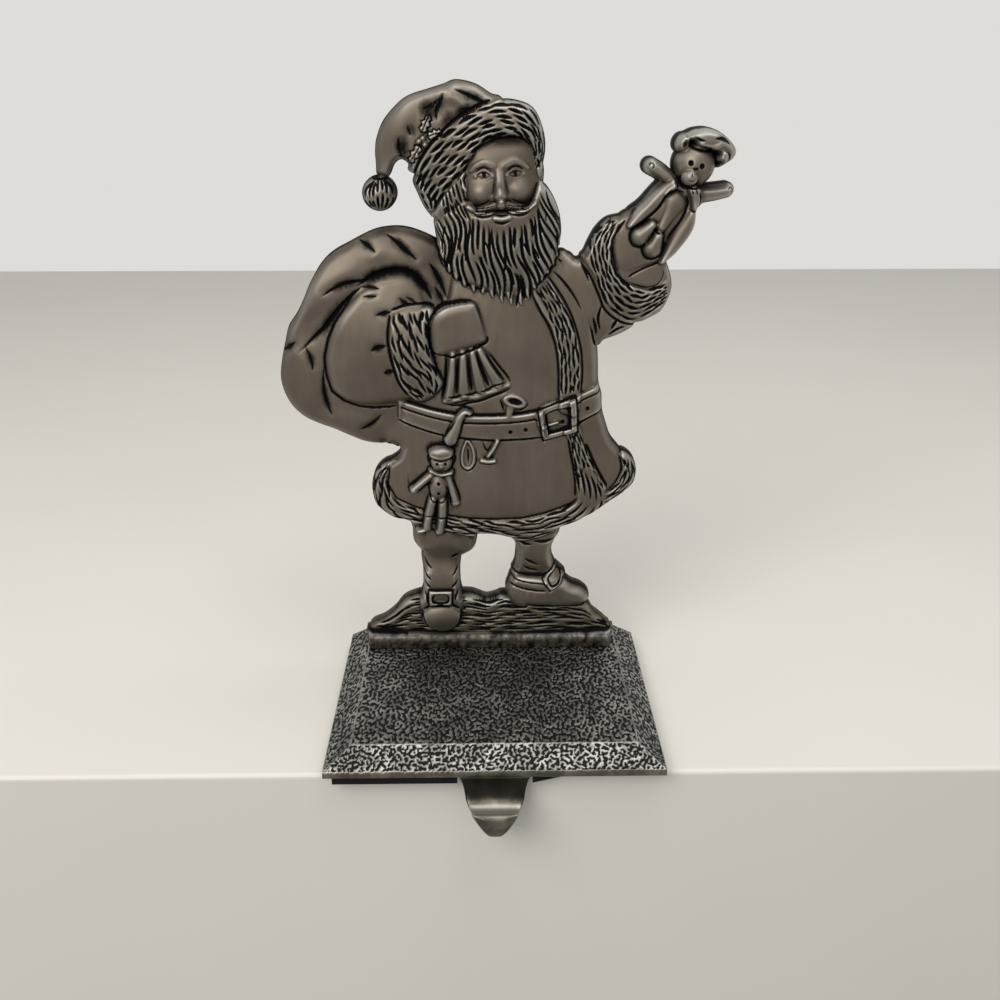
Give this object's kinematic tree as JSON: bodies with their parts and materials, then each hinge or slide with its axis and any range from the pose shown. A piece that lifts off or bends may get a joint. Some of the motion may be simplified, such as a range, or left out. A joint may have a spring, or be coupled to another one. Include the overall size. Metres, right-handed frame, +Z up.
{
  "type": "mantel stocking holder",
  "caption": "Weighted mantel stocking holder: bevelled grained base with a hook under its front lip and a cast relief winter figure with sack and toy bear.",
  "frame": {"origin": "middle of the base's footprint, on the mantel", "axes": "+X to the viewer's right, +Y towards the wall, +Z up"},
  "size_m": [0.1509, 0.1037, 0.2202],
  "materials": {
    "grained_casting": "dark patina with rubbed grain",
    "antiqued_casting": "antiqued pewter grey with black in the recesses",
    "screw_steel": "plain zinc",
    "foam_pad": "matt black foam"
  },
  "bodies": {
    "root": {"base_casting": "grained_casting", "figure_casting": "antiqued_casting", "figure_screws": "screw_steel", "base_pad": "foam_pad"}
  },
  "joints": []
}
